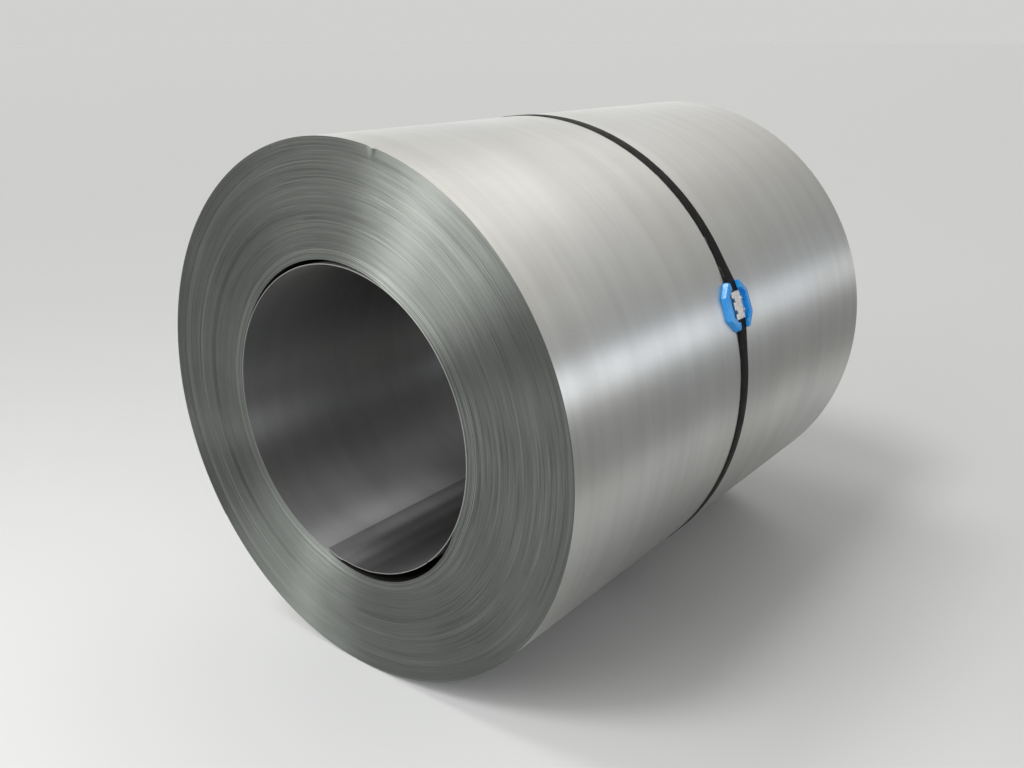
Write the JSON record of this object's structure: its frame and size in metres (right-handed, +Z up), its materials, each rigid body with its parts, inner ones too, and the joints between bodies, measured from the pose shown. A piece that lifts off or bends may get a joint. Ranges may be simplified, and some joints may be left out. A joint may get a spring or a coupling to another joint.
{
  "type": "steel coil",
  "caption": "Coil of bare steel strip lying on its side, with an open eye, a loose inner turn, and a black steel strap locked by a crimped seal in a blue pad.",
  "frame": {"origin": "on the floor under the middle of the coil's length", "axes": "+X along the eye's axis from the front end to the back end, the seal on the -Y side, +Z up"},
  "size_m": [1.255, 1.0648, 1.0648],
  "materials": {
    "strip_steel": "bare cold-rolled strip, satin, lightly oiled",
    "strap_black": "black painted and waxed steel strap",
    "seal_zinc": "galvanised sheet, crimped",
    "pad_blue": "moulded blue plastic"
  },
  "bodies": {
    "root": {"coil": "strip_steel", "strap": "strap_black", "seal": "seal_zinc", "seal_pad": "pad_blue"}
  },
  "joints": []
}
